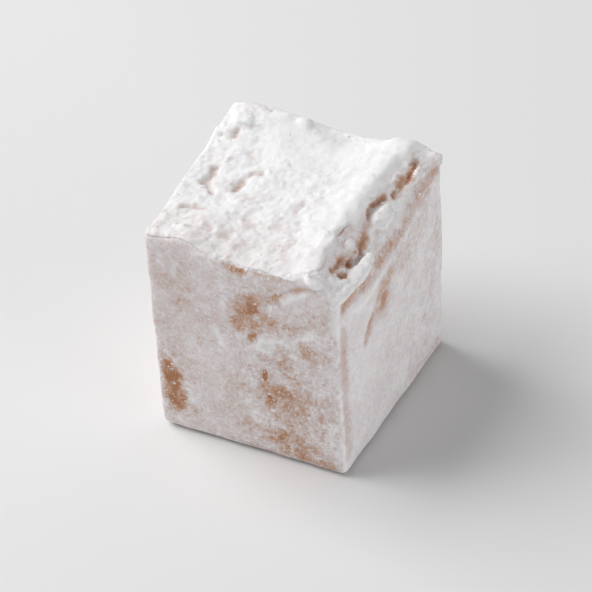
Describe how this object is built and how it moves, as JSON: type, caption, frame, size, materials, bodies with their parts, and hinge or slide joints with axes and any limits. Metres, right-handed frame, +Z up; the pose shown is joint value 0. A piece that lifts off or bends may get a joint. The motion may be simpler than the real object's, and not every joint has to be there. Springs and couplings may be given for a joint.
{
  "type": "turkish delight cube",
  "caption": "Knife-cut cube of starch jelly sweet in a crust of icing sugar, with a banked and worn top edge and small sugar clumps, resting on its flat underside.",
  "frame": {"origin": "centre of the bounding box's underside, on the surface that the cube rests on", "axes": "+Z up, +X to the right and +Y to the back, with the worn top edge on the right"},
  "size_m": [0.026, 0.0268, 0.029],
  "materials": {
    "sugared_jelly": "amber starch jelly under icing sugar: a thick matt white crust on top, a thin greyish film with worn tan patches on the sides"
  },
  "bodies": {
    "root": {"lokum_cube": "sugared_jelly"}
  },
  "joints": []
}
